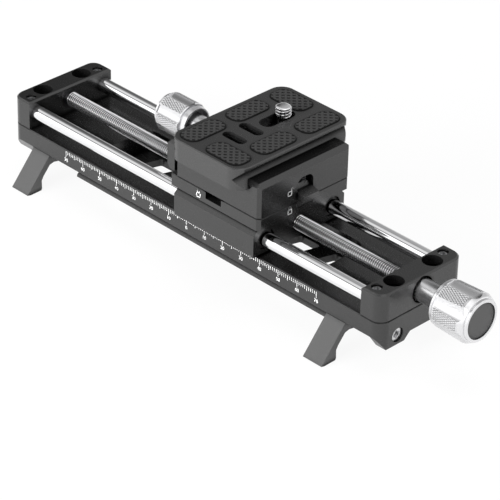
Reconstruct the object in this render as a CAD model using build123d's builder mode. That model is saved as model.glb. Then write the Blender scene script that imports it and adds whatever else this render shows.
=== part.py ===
# Macro focusing rail: a carriage with a quick-release clamp slides on two rods along a scaled base.
# Frame, millimetres: X along the rail (towards the drive knob), Y away from the scale side, Z up.
# X = 0 is the zero of the scale, Y = 0 the middle of the rail, Z = 0 the underside of its foot.
from build123d import *
import math
import os

os.makedirs("parts", exist_ok=True)

# ---- rail ----
rail_half_length = 102.5
rail_half_width = 22.0
rail_corner_r = 4.5
rail_under_z = 5.1
rail_top_z = 12.1
rail_edge = 0.4
trough_half_length = 60.5
trough_half_width = 14.5
trough_corner_r = 5.0
trough_floor_z = 3.0
boss_half_length = 9.0
boss_top_z = 10.0
window_width = 10.8
window_half_length = 12.0
window_slant = 0.3
window_corner_r = 1.2
window_centres = (-48.8, -30.4, 30.4, 48.8)

# dovetail foot under the rail
foot_left_x = -67.0
foot_right_x = 75.0
foot_half_width = 19.0
foot_neck_half_width = 16.8
foot_lip_z = 0.9
foot_neck_z = foot_lip_z + foot_half_width - foot_neck_half_width
lug_wall = 5.0
near_lug_x = -90.6
far_lug_x = 96.2
lug_outer_y = 18.4
lug_inner_y = 8.65
lug_slope_y = 5.6
lug_slope_z = 2.9

# tripod bush
bush_outer_r = 4.76
bush_inner_r = 3.2
bush_length = 9.0

# ---- end blocks, rods and lead screw ----
block_inner_x = 92.25
block_top_z = 24.2
block_centre_x = (block_inner_x + rail_half_length) / 2
block_length = rail_half_length - block_inner_x
edge_chamfer = 0.7
block_foot_chamfer = 0.35
rod_y = 17.75
rod_z = 18.45
rod_r = 3.0
rod_half_length = 99.5
rod_bore_r = 3.02
block_screw_y = 10.3
block_screw_r = 2.0
block_screw_head_r = 3.5
block_screw_head_h = 4.0
block_screw_seat_z = 15.9
block_screw_tip_z = 7.8
counterbore_r = 4.0
set_screw_x = 95.9
set_screw_r = 2.1
set_screw_top_z = 23.3
set_screw_edge = 0.35
screw_z = rod_z
screw_r = 3.0
screw_root_r = 2.4
screw_pitch = 1.0
crest_start = 0.4
crest_end = 0.6
screw_half_length = 91.5
journal_r = 2.3
journal_left_x = -99.0
journal_right_x = 110.0
bearing_r = 4.5
bearing_length = 4.0
neck_recess_r = 5.4
neck_recess_depth = 2.0
socket_depth = 1.3
running = 0.05
loose = 0.2
bore_overrun = 1.0

# ---- drive knob ----
neck_r = 4.6
neck_start_x = 101.0
neck_flare_x = 109.6
neck_flare_r = 5.8
knob_rear_x = 113.6
knob_rear_edge = 0.4
knob_rim_x = 114.9
knob_rim_r = 9.2
knob_rim_groove = 0.4
knob_rim_groove_depth = 0.35
knob_rear_r = 9.5
knob_r = 10.05
knob_shoulder_x = 128.4
knob_shoulder_r = 8.95
knob_ring_r = 8.6
knob_ring_x = 130.2
knob_front_x = 131.2
cap_r = 7.2
cap_gap = 0.15
cap_depth = 1.5
cap_inset = 0.5
flute_count = 6
flute_r = 7.0
flute_depth = 0.85
flute_margin = 0.9

# ---- legs ----
leg_width = 9.6
leg_pivot_y = 12.3
leg_pivot_z = 4.0
leg_pin_r = 1.5
leg_pin_head_r = 2.75
leg_pin_head_length = 2.4
leg_pin_recess = 0.8
leg_pin_socket_r = 1.6
leg_pin_counterbore_r = 2.95
knuckle_r = 3.5
knuckle_pocket_top_z = 8.2
knuckle_pocket_half_width = 19.5
leg_left_near_x = -85.3
leg_left_far_x = -75.05
leg_right_near_x = 80.25
leg_right_far_x = 90.9
leg_side_gap = 0.4
leg_pin_tip_left = -63.5
leg_pin_tip_right = 70.5

# ---- carriage ----
carriage_x = 17.2
turn_x = 17.0
carriage_half_length = 21.7
carriage_half_width = 24.3
carriage_under_z = 12.65
carriage_edge_z = 21.8
carriage_top_z = 25.1
rod_bush_r = 4.2
rod_bush_length = 8.0
rod_bush_inset = 1.2
rod_relief_r = 3.5
nut_r = 4.8
nut_length = 16.0
nut_inset = 1.0
screw_relief_r = 3.3
index_half = 24.3
index_top_z = 30.2
index_corner = 1.3
index_edge = 0.4
groove_inner_r = 21.0
groove_outer_r = 24.65
groove_depth = 3.05
index_screw_pitch = 26.0
index_screw_r = 1.5
index_screw_head_r = 2.75
index_screw_head_h = 3.0
index_screw_tip_z = 22.8
pivot_r = 4.0
pivot_head_r = 6.0
pivot_bottom_z = 23.4

# ---- clamp ----
clamp_under_z = 30.5
clamp_right_x = 41.4
clamp_left_x = -2.8
clamp_floor_z = 41.65
jaw_top_z = 44.65
jaw_chamfer = 1.8
hook_end_chamfer = 1.3
hook_tip_x = 34.1
hook_gap = 0.1
pivot_pocket_z = 36.8
pivot_head_top_z = 39.6
clamp_knob_z = 36.95
latch_pocket_half_width = 4.2
latch_pocket_depth = 3.4
latch_pocket_top_z = 40.0
latch_pocket_corner_r = 3.0
latch_half_width = 4.0
latch_inner_x = 38.4
latch_outer_x = 41.2
latch_bottom_z = 27.4
latch_top_z = 36.6
latch_corner_r = 2.8
latch_step_x = 40.0
latch_slope_x = 39.4
latch_tab_x = 44.8
latch_tab_z = (31.1, 33.4, 34.4)
latch_spring_r = 1.1
latch_spring_wire_r = 0.2
latch_spring_turns = 3

# moving jaw and its spindle
jaw_left_x = -8.4
jaw_right_x = -4.4
jaw_bottom_z = 31.8
jaw_outer_top_z = 44.4
jaw_top_chamfer = 1.8
jaw_end_chamfer = 1.3
jaw_tip_x = -0.2
jaw_corner_r = 2.5
jaw_pin_y = 16.0
jaw_pin_z = 35.0
jaw_pin_r = 1.5
jaw_pin_tip_x = 5.0
spindle_r = 2.5
spindle_tip_x = 9.5
spindle_head_x = -24.0
cknob_r = 8.0
cknob_far_x = -34.5
cknob_rim_x = -33.4
cknob_rim_r = 7.1
cknob_body_x = -33.0
cknob_groove_r = 6.7
cknob_grip_end_x = -20.6
cknob_ring_x = -19.7
cknob_ring_r = 7.4
cknob_mouth_x = -17.8
cknob_mouth_r = 6.9
cknob_cup_r = 6.3
cknob_cup_x = -21.0
cknob_hub_x = -17.4
cknob_cone_x = -8.8
cknob_cone_r = (4.7, 3.8)
cknob_cap_r = 5.4
cknob_flute_r = 5.5
cknob_flute_depth = 0.7

# ---- quick-release plate ----
plate_x = 17.1
plate_half_width = 19.05
plate_half_length = 30.3
plate_corner_r = 6.0
plate_top_z = 50.9
plate_rim_z = 50.3
plate_rim_step = 0.5
plate_bottom_z = 41.7
plate_groove_half_width = 15.25
plate_groove_z = 46.05
slot_width = 4.6
slot_length = 11.5
slot_ledge = 0.2
slot_ledge_z = 49.0
slot_centres = ((16.5, -13.2), (16.0, -4.0))
long_slot_x = 16.6
long_slot_y = (0.8, 17.4)
long_slot_width = 6.7
counter_slot_width = 12.4
counter_slot_z = 46.8
pad_depth = 0.5
pad_proud = 0.45
pad_corner_r = 3.8
# pads: centre x, centre y, width, length
pads = (
    (4.8, -18.4, 9.3, 19.2),
    (5.0, 4.7, 9.2, 18.6),
    (10.3, 23.1, 18.2, 9.6),
    (23.8, -23.5, 18.4, 9.8),
    (29.2, -5.4, 9.6, 19.2),
    (29.1, 18.0, 9.6, 19.2),
)
camera_y = 12.4
camera_r = 3.175
camera_neck_r = 2.75
camera_thread_z = 51.5
camera_top_z = 55.4
camera_tip = 0.4
coin_slot_width = 1.2
coin_slot_depth = 1.2
camera_head_r = 5.6
camera_head_z = (42.2, 45.1)
retainer_r = 5.8
retainer_z = (45.3, 46.5)


def save(part, name):
    part.label = name
    export_step(part, "parts/" + name + ".step")


def prism(points, plane, length, both=False):
    """Solid with the given outline on a plane, drawn out along the plane's normal."""
    with BuildPart() as body:
        with BuildSketch(plane):
            with BuildLine():
                Polyline(*points, close=True)
            make_face()
        extrude(amount=length, both=both)
    return body.part


def turned(points, axis_z):
    """Solid of revolution about a line along X at the given height; points are (x, radius)."""
    with BuildPart() as body:
        with BuildSketch(Plane.XZ):
            with BuildLine():
                Polyline(*[(x, axis_z + r) for x, r in points], close=True)
            make_face()
        revolve(axis=Axis((0, 0, axis_z), (1, 0, 0)))
    return body.part


def x_cylinder(x, y, z, radius, length):
    """Location helper: a cylinder along X whose middle is at x, y, z."""
    with Locations(Location((x, y, z), (0, 90, 0))):
        Cylinder(radius, length)


def x_hole(x, y, z, radius, length):
    with Locations(Location((x, y, z), (0, 90, 0))):
        Cylinder(radius, length, mode=Mode.SUBTRACT)


def hex_socket(radius, depth, x, y, z, rotation):
    """Hexagonal recess cut with its middle at x, y, z."""
    with BuildSketch(Plane(Location((x, y, z), rotation))) as hexagon:
        RegularPolygon(radius, 6)
    extrude(hexagon.sketch, amount=depth, both=True, mode=Mode.SUBTRACT)


def window_outline(centre_x):
    """Slanted four-sided opening in the trough floor."""
    half = window_width / 2
    lean = window_slant * window_half_length
    return [
        (centre_x - half - lean, -window_half_length),
        (centre_x + half - lean, -window_half_length),
        (centre_x + half + lean, window_half_length),
        (centre_x - half + lean, window_half_length),
    ]


# ---- base rail ----
lug_profile = [
    (-rail_half_width, rail_top_z),
    (-rail_half_width, rail_under_z),
    (-lug_outer_y, 0),
    (-lug_inner_y, 0),
    (-lug_slope_y, lug_slope_z),
    (lug_slope_y, lug_slope_z),
    (lug_inner_y, 0),
    (lug_outer_y, 0),
    (rail_half_width, rail_under_z),
    (rail_half_width, rail_top_z),
]
foot_profile = [
    (-foot_neck_half_width, rail_top_z),
    (-foot_neck_half_width, foot_neck_z),
    (-foot_half_width, foot_lip_z),
    (-foot_half_width, 0),
    (foot_half_width, 0),
    (foot_half_width, foot_lip_z),
    (foot_neck_half_width, foot_neck_z),
    (foot_neck_half_width, rail_top_z),
]
near_lug_profile = lug_profile[:5] + [(-lug_slope_y, rail_top_z)]
far_lug_profile = [(-y, z) for y, z in near_lug_profile]
lug_left = prism(lug_profile, Plane.YZ.offset(-rail_half_length), lug_wall)
lug_near = prism(near_lug_profile, Plane.YZ.offset(-rail_half_length), near_lug_x + rail_half_length)
lug_far = prism(far_lug_profile, Plane.YZ.offset(far_lug_x), rail_half_length - far_lug_x)
lug_right = prism(lug_profile, Plane.YZ.offset(rail_half_length - lug_wall), lug_wall)
foot = prism(foot_profile, Plane.YZ.offset(foot_left_x), foot_right_x - foot_left_x)

leg_pockets = (
    (leg_left_near_x - leg_width / 2 - leg_side_gap, leg_left_far_x + leg_width / 2 + leg_side_gap),
    (leg_right_near_x - leg_width / 2 - leg_side_gap, leg_right_far_x + leg_width / 2 + leg_side_gap),
)
leg_pins = (
    (-rail_half_length, leg_pin_tip_left, -leg_pivot_y),
    (-rail_half_length, leg_pin_tip_left, leg_pivot_y),
    (rail_half_length, leg_pin_tip_right, -leg_pivot_y),
    (rail_half_length, leg_pin_tip_right, leg_pivot_y),
)

with BuildPart() as base_rail:
    with BuildSketch(Plane.XY.offset(rail_under_z)):
        RectangleRounded(2 * rail_half_length, 2 * rail_half_width, rail_corner_r)
    extrude(amount=rail_top_z - rail_under_z)
    add(lug_left)
    add(lug_right)
    add(lug_near)
    add(lug_far)
    add(foot)
    # both ends keep the rounded corners of the plan all the way down
    with BuildSketch():
        RectangleRounded(2 * rail_half_length, 2 * rail_half_width, rail_corner_r)
    extrude(amount=rail_top_z, mode=Mode.INTERSECT)
    long_edges = base_rail.faces().sort_by(Axis.Z)[-1].edges().filter_by(Axis.X)
    chamfer(long_edges, rail_edge)
    with BuildSketch(Plane.XY.offset(trough_floor_z)):
        RectangleRounded(2 * trough_half_length, 2 * trough_half_width, trough_corner_r)
    extrude(amount=rail_top_z, mode=Mode.SUBTRACT)
    with Locations((0, 0, boss_top_z / 2)):
        Box(2 * boss_half_length, 2 * trough_half_width, boss_top_z)
    with BuildSketch():
        for window_x in window_centres:
            with BuildLine():
                Polyline(*window_outline(window_x), close=True)
            make_face()
        fillet(vertices(), window_corner_r)
    extrude(amount=2 * trough_floor_z, both=True, mode=Mode.SUBTRACT)
    for low_x, high_x in leg_pockets:
        with Locations(((low_x + high_x) / 2, 0, knuckle_pocket_top_z / 2)):
            Box(
                high_x - low_x,
                2 * knuckle_pocket_half_width,
                knuckle_pocket_top_z,
                mode=Mode.SUBTRACT,
            )
    for end_x, tip_x, pin_y in leg_pins:
        side = math.copysign(1, end_x)
        pin_length = abs(end_x - tip_x) + bore_overrun
        x_hole((end_x + tip_x) / 2, pin_y, leg_pivot_z, leg_pin_r + running, pin_length)
        seat_depth = leg_pin_recess + leg_pin_head_length
        seat_x = end_x - side * seat_depth / 2
        x_hole(seat_x, pin_y, leg_pivot_z, leg_pin_counterbore_r, seat_depth + loose)
    with Locations(
        *[
            (side * block_centre_x, y, rail_top_z)
            for side in (-1, 1)
            for y in (-block_screw_y, block_screw_y)
        ]
    ):
        Cylinder(
            block_screw_r + running,
            2 * (rail_top_z - block_screw_tip_z + loose),
            mode=Mode.SUBTRACT,
        )
    with Locations((0, 0, bush_length / 2)):
        Cylinder(bush_outer_r, bush_length, mode=Mode.SUBTRACT)
save(base_rail.part, "base_rail")

with BuildPart() as tripod_bush:
    with Locations((0, 0, bush_length / 2)):
        Cylinder(bush_outer_r, bush_length)
        Cylinder(bush_inner_r, bush_length, mode=Mode.SUBTRACT)
save(tripod_bush.part, "tripod_bush")


# ---- end blocks ----
def end_block(side):
    """Rod and bearing block on one end of the rail; side is -1 or 1 along X."""
    middle_z = (rail_top_z + block_top_z) / 2
    with BuildPart() as block:
        with BuildSketch(Plane.XY.offset(rail_top_z)):
            with Locations((side * block_centre_x, 0)):
                Rectangle(block_length, 2 * rail_half_width)
        extrude(amount=block_top_z - rail_top_z)
        outer = block.edges().filter_by(Axis.Z).group_by(Axis.X)[-1 if side > 0 else 0]
        fillet(outer, rail_corner_r)
        chamfer(block.faces().sort_by(Axis.Z)[-1].edges(), edge_chamfer)
        foot_edges = block.faces().sort_by(Axis.Z)[0].edges().filter_by(Axis.Y)
        chamfer(foot_edges.sort_by(Axis.X)[-1 if side > 0 else 0], block_foot_chamfer)
        for y in (-rod_y, rod_y):
            reach = rod_half_length - block_inner_x + loose
            x_hole(side * (block_inner_x + reach / 2), y, rod_z, rod_bore_r, reach)
            with Locations((side * set_screw_x, y, block_top_z)):
                Cylinder(set_screw_r + running, 2 * (block_top_z - rod_z), mode=Mode.SUBTRACT)
        for y in (-block_screw_y, block_screw_y):
            with Locations((side * block_centre_x, y, block_top_z)):
                Cylinder(counterbore_r, 2 * (block_top_z - block_screw_seat_z), mode=Mode.SUBTRACT)
            with Locations((side * block_centre_x, y, middle_z)):
                Cylinder(block_screw_r + loose, block_top_z, mode=Mode.SUBTRACT)
        x_hole(side * (block_inner_x + bearing_length / 2), 0, screw_z, bearing_r, bearing_length)
        bore_end = rail_half_length if side > 0 else abs(journal_left_x) + loose
        bore = bore_end - block_inner_x
        x_hole(side * (block_inner_x + bore / 2), 0, screw_z, journal_r + loose, bore)
        if side > 0:
            recess_x = rail_half_length - neck_recess_depth / 2
            x_hole(recess_x, 0, screw_z, neck_recess_r, neck_recess_depth)
    return block.part


save(end_block(-1), "end_block_left")
save(end_block(1), "end_block_right")

# ---- rods ----
for rod_name, y in (("rod_near", -rod_y), ("rod_far", rod_y)):
    with BuildPart() as rod:
        x_cylinder(0, y, rod_z, rod_r, 2 * rod_half_length)
        chamfer(rod.edges().filter_by(GeomType.CIRCLE), edge_chamfer)
    save(rod.part, rod_name)

# ---- screws that hold the blocks ----
with BuildPart() as block_screws:
    for side in (-1, 1):
        for y in (-block_screw_y, block_screw_y):
            x = side * block_centre_x
            with Locations((x, y, block_screw_seat_z + block_screw_head_h / 2)):
                Cylinder(block_screw_head_r, block_screw_head_h)
            with Locations((x, y, (block_screw_seat_z + block_screw_tip_z) / 2)):
                Cylinder(block_screw_r, block_screw_seat_z - block_screw_tip_z)
            head_top = block_screw_seat_z + block_screw_head_h
            hex_socket(block_screw_r - loose, block_screw_r, x, y, head_top, (0, 0, 0))
save(block_screws.part, "block_screws")

with BuildPart() as rod_set_screws:
    set_screw_tip_z = rod_z + rod_r + running
    for side in (-1, 1):
        for y in (-rod_y, rod_y):
            with Locations((side * set_screw_x, y, (set_screw_top_z + set_screw_tip_z) / 2)):
                Cylinder(set_screw_r, set_screw_top_z - set_screw_tip_z)
    top_rims = rod_set_screws.edges().filter_by(GeomType.CIRCLE).group_by(Axis.Z)[-1]
    chamfer(top_rims, set_screw_edge)
    socket_r = set_screw_r / 2 + loose
    for side in (-1, 1):
        for y in (-rod_y, rod_y):
            hex_socket(socket_r, socket_depth, side * set_screw_x, y, set_screw_top_z, (0, 0, 0))
save(rod_set_screws.part, "rod_set_screws")

with BuildPart() as screw_bearings:
    for side in (-1, 1):
        x_cylinder(side * (block_inner_x + bearing_length / 2), 0, screw_z, bearing_r, bearing_length)
        x_hole(
            side * (block_inner_x + bearing_length / 2),
            0,
            screw_z,
            journal_r + running,
            bearing_length,
        )
save(screw_bearings.part, "screw_bearings")

# ---- lead screw: ring-shaped thread form between two journals ----
thread_profile = [(journal_left_x, 0), (journal_left_x, journal_r), (-screw_half_length, journal_r)]
turn_count = int(2 * screw_half_length / screw_pitch)
for turn in range(turn_count):
    start = -screw_half_length + turn * screw_pitch
    thread_profile.append((start, screw_root_r))
    thread_profile.append((start + screw_pitch * crest_start, screw_r))
    thread_profile.append((start + screw_pitch * crest_end, screw_r))
thread_profile.append((screw_half_length, screw_root_r))
thread_profile.append((screw_half_length, journal_r))
thread_profile.append((journal_right_x, journal_r))
thread_profile.append((journal_right_x, 0))
save(turned(thread_profile, screw_z), "lead_screw")


# ---- knobs ----
def fluted(profile, axis_z, outer_r, cut_r, cut_depth, cut_x, cut_length):
    """Turned knob with lengthwise scallops cut round its grip."""
    blank = turned(profile, axis_z)
    with BuildPart() as knob:
        add(blank)
        for index in range(flute_count):
            angle = 2 * math.pi * (index + 0.5) / flute_count
            reach = outer_r + cut_r - cut_depth
            x_hole(cut_x, reach * math.cos(angle), axis_z + reach * math.sin(angle), cut_r, cut_length)
    return knob.part


groove_x = knob_rim_x + knob_rim_groove
drive_profile = [
    (neck_start_x, journal_r),
    (neck_start_x, neck_r),
    (neck_flare_x, neck_r),
    (knob_rear_x, neck_flare_r),
    (knob_rear_x, knob_rim_r - knob_rear_edge),
    (knob_rear_x + knob_rear_edge, knob_rim_r),
    (knob_rim_x, knob_rim_r),
    (knob_rim_x, knob_rim_r - knob_rim_groove_depth),
    (groove_x, knob_rim_r - knob_rim_groove_depth),
    (groove_x, knob_rear_r),
    (knob_shoulder_x, knob_r),
    (knob_ring_x, knob_shoulder_r),
    (knob_ring_x, knob_ring_r),
    (knob_front_x, knob_ring_r),
    (knob_front_x, cap_r + cap_gap),
    (knob_front_x - cap_depth - cap_inset, cap_r + cap_gap),
    (knob_front_x - cap_depth - cap_inset, 0),
    (journal_right_x, 0),
    (journal_right_x, journal_r),
]
grip_x = (groove_x + knob_shoulder_x) / 2
grip_length = knob_shoulder_x - groove_x - 2 * flute_margin
drive_knob = fluted(
    drive_profile, screw_z, (knob_rear_r + knob_r) / 2, flute_r, flute_depth, grip_x, grip_length
)
save(drive_knob, "drive_knob")

with BuildPart() as drive_knob_cap:
    cap_x = knob_front_x - cap_inset - cap_depth / 2
    x_cylinder(cap_x, 0, screw_z, cap_r, cap_depth)
save(drive_knob_cap.part, "drive_knob_cap")

# ---- leg pivots ----
with BuildPart() as leg_pivots:
    for end_x, tip_x, pin_y in leg_pins:
        side = math.copysign(1, end_x)
        head_x = end_x - side * leg_pin_recess
        shank_start = head_x - side * leg_pin_head_length
        x_cylinder(
            (head_x + shank_start) / 2, pin_y, leg_pivot_z, leg_pin_head_r, leg_pin_head_length
        )
        x_cylinder(
            (shank_start + tip_x) / 2, pin_y, leg_pivot_z, leg_pin_r, abs(shank_start - tip_x)
        )
        hex_socket(leg_pin_socket_r, socket_depth, head_x, pin_y, leg_pivot_z, (0, 90, 0))
save(leg_pivots.part, "leg_pivots")

# ---- legs: outline seen along X, for the near side ----
leg_outline = [
    (-15.0, 7.2),
    (-18.9, 4.9),
    (-21.9, 4.9),
    (-33.7, -9.1),
    (-32.0, -9.5),
    (-26.4, -9.4),
    (-26.0, -8.6),
    (-26.1, -5.1),
    (-25.2, -3.4),
    (-21.7, 0.65),
    (-19.6, 1.2),
    (-16.9, 0.7),
    (-12.7, 0.52),
    (-leg_pivot_y, leg_pivot_z),
    (-leg_pivot_y, 7.48),
]


def leg(centre_x, side):
    """Fold-out leg; side is -1 for the scale side and 1 for the far side."""
    outline = [(-side * y, z) for y, z in leg_outline]
    arm = prism(outline, Plane.YZ.offset(centre_x), leg_width / 2, both=True)
    with BuildPart() as body:
        add(arm)
        x_cylinder(centre_x, side * leg_pivot_y, leg_pivot_z, knuckle_r, leg_width)
        x_hole(centre_x, side * leg_pivot_y, leg_pivot_z, leg_pin_r + running, leg_width)
    return body.part


save(leg(leg_left_near_x, -1), "leg_near_left")
save(leg(leg_right_near_x, -1), "leg_near_right")
save(leg(leg_left_far_x, 1), "leg_far_left")
save(leg(leg_right_far_x, 1), "leg_far_right")

# ---- carriage ----
carriage_profile = [
    (-carriage_half_width, carriage_under_z),
    (carriage_half_width, carriage_under_z),
    (carriage_half_width, carriage_edge_z),
    (carriage_half_width + carriage_edge_z - carriage_top_z, carriage_top_z),
    (-carriage_half_width - carriage_edge_z + carriage_top_z, carriage_top_z),
    (-carriage_half_width, carriage_edge_z),
]
carriage_blank = prism(carriage_profile, Plane.YZ.offset(carriage_x), carriage_half_length, both=True)
bush_offsets = [
    (side * (carriage_half_length - rod_bush_inset - rod_bush_length / 2), y)
    for side in (-1, 1)
    for y in (-rod_y, rod_y)
]
bush_pocket_length = rod_bush_length + rod_bush_inset
nut_pocket_length = nut_length + nut_inset
nut_pocket_x = carriage_x - carriage_half_length + nut_pocket_length / 2
nut_x = nut_pocket_x + nut_inset / 2
index_screw_places = [
    (turn_x + dx * index_screw_pitch / 2, dy * index_screw_pitch / 2)
    for dx in (-1, 1)
    for dy in (-1, 1)
]

with BuildPart() as carriage_body:
    add(carriage_blank)
    for y in (-rod_y, rod_y):
        x_hole(carriage_x, y, rod_z, rod_relief_r, 2 * carriage_half_length)
    for side in (-1, 1):
        pocket_x = carriage_x + side * (carriage_half_length - bush_pocket_length / 2)
        for y in (-rod_y, rod_y):
            x_hole(pocket_x, y, rod_z, rod_bush_r, bush_pocket_length)
    x_hole(carriage_x, 0, screw_z, screw_relief_r, 2 * carriage_half_length)
    x_hole(nut_pocket_x, 0, screw_z, nut_r, nut_pocket_length)
    with Locations((turn_x, 0, (pivot_bottom_z + carriage_top_z) / 2)):
        Cylinder(pivot_r, carriage_top_z - pivot_bottom_z, mode=Mode.SUBTRACT)
    with Locations(*[(x, y, (index_screw_tip_z + carriage_top_z) / 2) for x, y in index_screw_places]):
        Cylinder(index_screw_r + running, carriage_top_z - index_screw_tip_z + loose, mode=Mode.SUBTRACT)
save(carriage_body.part, "carriage_body")

with BuildPart() as rod_bushes:
    for offset, y in bush_offsets:
        x_cylinder(carriage_x + offset, y, rod_z, rod_bush_r, rod_bush_length)
        x_hole(carriage_x + offset, y, rod_z, rod_r + running, rod_bush_length)
save(rod_bushes.part, "rod_bushes")

with BuildPart() as drive_nut:
    x_cylinder(nut_x, 0, screw_z, nut_r, nut_length)
    x_hole(nut_x, 0, screw_z, screw_r + running, nut_length)
save(drive_nut.part, "drive_nut")

with BuildPart() as index_plate:
    with BuildSketch(Plane.XY.offset(carriage_top_z)):
        with Locations((turn_x, 0)):
            Rectangle(2 * index_half, 2 * index_half)
    extrude(amount=index_top_z - carriage_top_z)
    chamfer(index_plate.edges().filter_by(Axis.Z), index_corner)
    chamfer(index_plate.faces().sort_by(Axis.Z)[-1].edges(), index_edge)
    # ring groove that breaks out through the middle of each face as the lock notch
    with BuildSketch(Plane.XY.offset(index_top_z - groove_depth)):
        with Locations((turn_x, 0)):
            Circle(groove_outer_r)
            Circle(groove_inner_r, mode=Mode.SUBTRACT)
    extrude(amount=groove_depth, mode=Mode.SUBTRACT)
    with Locations((turn_x, 0, (carriage_top_z + index_top_z) / 2)):
        Cylinder(pivot_r, index_top_z - carriage_top_z, mode=Mode.SUBTRACT)
    with Locations(*[(x, y, carriage_top_z) for x, y in index_screw_places]):
        Cylinder(index_screw_r + running, index_top_z, mode=Mode.SUBTRACT)
    with Locations(*[(x, y, index_top_z) for x, y in index_screw_places]):
        Cylinder(index_screw_head_r + loose, 2 * (index_screw_head_h + loose), mode=Mode.SUBTRACT)
save(index_plate.part, "index_plate")

with BuildPart() as index_screws:
    seat_z = index_top_z - index_screw_head_h - loose
    for x, y in index_screw_places:
        with Locations((x, y, seat_z + index_screw_head_h / 2)):
            Cylinder(index_screw_head_r, index_screw_head_h)
        with Locations((x, y, (seat_z + index_screw_tip_z) / 2)):
            Cylinder(index_screw_r, seat_z - index_screw_tip_z)
        hex_socket(index_screw_r - running, socket_depth, x, y, seat_z + index_screw_head_h, (0, 0, 0))
save(index_screws.part, "index_screws")

with BuildPart() as turn_pivot:
    with Locations((turn_x, 0, (pivot_bottom_z + pivot_pocket_z + running) / 2)):
        Cylinder(pivot_r, pivot_pocket_z + running - pivot_bottom_z)
    with Locations((turn_x, 0, (pivot_pocket_z + running + pivot_head_top_z) / 2)):
        Cylinder(pivot_head_r, pivot_head_top_z - pivot_pocket_z - running)
    hex_socket(pivot_r / 2, socket_depth, turn_x, 0, pivot_head_top_z, (0, 0, 0))
save(turn_pivot.part, "turn_pivot")

# ---- clamp body: outline seen along Y ----
lip_x = plate_x + plate_half_width
plate_lip_z = plate_groove_z - plate_half_width + plate_groove_half_width
hook_slope_sum = lip_x + plate_lip_z + hook_gap
clamp_profile = [
    (clamp_left_x, clamp_under_z),
    (clamp_right_x, clamp_under_z),
    (clamp_right_x, jaw_top_z - jaw_chamfer),
    (clamp_right_x - jaw_chamfer, jaw_top_z),
    (hook_tip_x, jaw_top_z),
    (hook_tip_x, hook_slope_sum - hook_tip_x),
    (lip_x + loose, hook_slope_sum - lip_x - loose),
    (lip_x + loose, clamp_floor_z),
    (clamp_left_x, clamp_floor_z),
]
clamp_blank = prism(clamp_profile, Plane.XZ, index_half, both=True)
hook_end_low = jaw_top_z - hook_end_chamfer - bore_overrun
hook_end_cuts = [
    prism(
        [
            (side * (index_half + bore_overrun), hook_end_low),
            (side * (index_half + bore_overrun), jaw_top_z + bore_overrun),
            (side * (index_half - hook_end_chamfer - bore_overrun), jaw_top_z + bore_overrun),
        ],
        Plane.YZ.offset(hook_tip_x - bore_overrun),
        clamp_right_x - hook_tip_x + 2 * bore_overrun,
    )
    for side in (-1, 1)
]

with BuildPart() as clamp_body:
    add(clamp_blank)
    corner_edges = clamp_body.edges().filter_by(Axis.Z).group_by(Axis.X)[-1]
    chamfer(corner_edges, index_corner)
    add(hook_end_cuts, mode=Mode.SUBTRACT)
    with Locations((turn_x, 0, (clamp_under_z + pivot_pocket_z) / 2)):
        Cylinder(pivot_r + running, pivot_pocket_z - clamp_under_z, mode=Mode.SUBTRACT)
    with Locations((turn_x, 0, (pivot_pocket_z + clamp_floor_z) / 2)):
        Cylinder(pivot_head_r + loose, clamp_floor_z - pivot_pocket_z, mode=Mode.SUBTRACT)
    spindle_reach = spindle_tip_x + bore_overrun - clamp_left_x
    x_hole(clamp_left_x + spindle_reach / 2, 0, clamp_knob_z, spindle_r + running, spindle_reach)
    for y in (-jaw_pin_y, jaw_pin_y):
        pin_reach = jaw_pin_tip_x + bore_overrun - clamp_left_x
        x_hole(clamp_left_x + pin_reach / 2, y, jaw_pin_z, jaw_pin_r + running, pin_reach)
    # latch pocket with an arched top, open at the bottom over the lock notch
    with BuildSketch(Plane.YZ.offset(clamp_right_x - latch_pocket_depth)):
        with Locations((0, (clamp_under_z + latch_pocket_top_z) / 2)):
            Rectangle(2 * latch_pocket_half_width, latch_pocket_top_z - clamp_under_z)
        top_corners = [
            vertex
            for vertex in vertices()
            if vertex.Y > (clamp_under_z + latch_pocket_top_z) / 2
        ]
        fillet(top_corners, latch_pocket_corner_r)
    extrude(amount=latch_pocket_depth + bore_overrun, mode=Mode.SUBTRACT)
save(clamp_body.part, "clamp_body")

# ---- latch lever: tongue in the notch below, thumb tab outside ----
tab_low_z, tab_edge_z, tab_high_z = latch_tab_z
latch_outline = [
    (latch_inner_x, latch_bottom_z),
    (latch_outer_x, latch_bottom_z),
    (latch_outer_x, tab_low_z),
    (latch_tab_x, tab_low_z),
    (latch_tab_x, tab_edge_z),
    (latch_outer_x, tab_high_z),
    (latch_step_x, tab_high_z),
    (latch_slope_x, latch_top_z),
    (latch_inner_x, latch_top_z),
]
latch_blank = prism(latch_outline, Plane.XZ, latch_half_width, both=True)
with BuildPart() as latch_lever:
    add(latch_blank)
    fillet(latch_lever.faces().sort_by(Axis.Z)[-1].edges().filter_by(Axis.X), latch_corner_r)
save(latch_lever.part, "latch_lever")

spring_gap = latch_pocket_top_z - latch_top_z - 2 * latch_spring_wire_r - 2 * running
spring_x = latch_inner_x + latch_spring_r + latch_spring_wire_r + running
spring_start_z = latch_top_z + latch_spring_wire_r + running
with BuildPart() as latch_spring:
    with BuildLine():
        coil = Helix(
            spring_gap / latch_spring_turns,
            spring_gap,
            latch_spring_r,
            center=(spring_x, 0, spring_start_z),
        )
    with BuildSketch(Plane(origin=coil @ 0, z_dir=coil % 0)):
        Circle(latch_spring_wire_r)
    sweep(is_frenet=True)
save(latch_spring.part, "latch_spring")

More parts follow.
